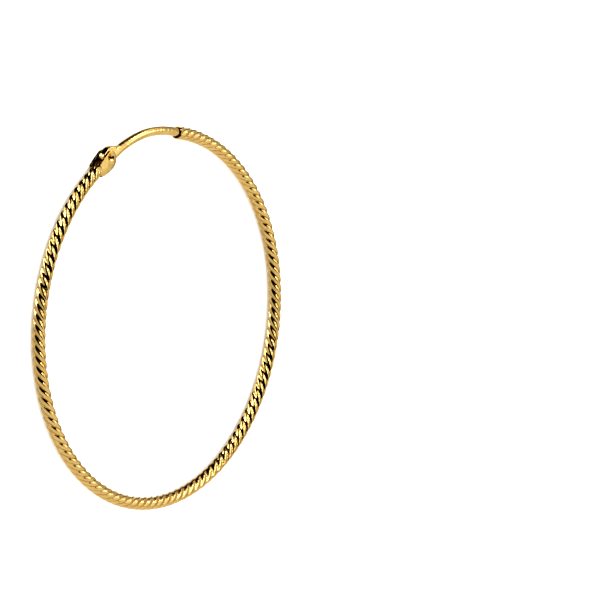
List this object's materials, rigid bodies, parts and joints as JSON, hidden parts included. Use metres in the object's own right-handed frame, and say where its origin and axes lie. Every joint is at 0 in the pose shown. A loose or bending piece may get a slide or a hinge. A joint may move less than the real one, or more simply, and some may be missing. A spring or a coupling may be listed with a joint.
{
  "type": "hoop earring",
  "caption": "Hollow hoop earring with a spirally fluted tube, a folded hinge fitting and a swinging ear wire that plugs into the tube's open end.",
  "frame": {"origin": "centre of the hoop's circle, on the surface that the earring lies on", "axes": "+Z is the ring's axis, upwards as the earring lies; +Y points to the middle of the ear wire; the hinge is on the -X side of it"},
  "size_m": [0.04, 0.0401, 0.0014],
  "materials": {
    "twisted_gold": "polished yellow gold, bright cut along the twist",
    "wire_gold": "polished yellow gold wire",
    "pin_gold": "polished yellow gold rivet end"
  },
  "bodies": {
    "hoop_body": {"hoop": "twisted_gold", "hinge_pin": "pin_gold"},
    "wire_body": {"ear_wire": "wire_gold"}
  },
  "joints": [
    {"name": "ear_wire_hinge", "type": "hinge", "parent": "hoop_body", "child": "wire_body", "pos_m": [-0.00459, 0.01919, 0.00072], "axis": [0, 0, 1], "range_deg": [0, 120]}
  ]
}
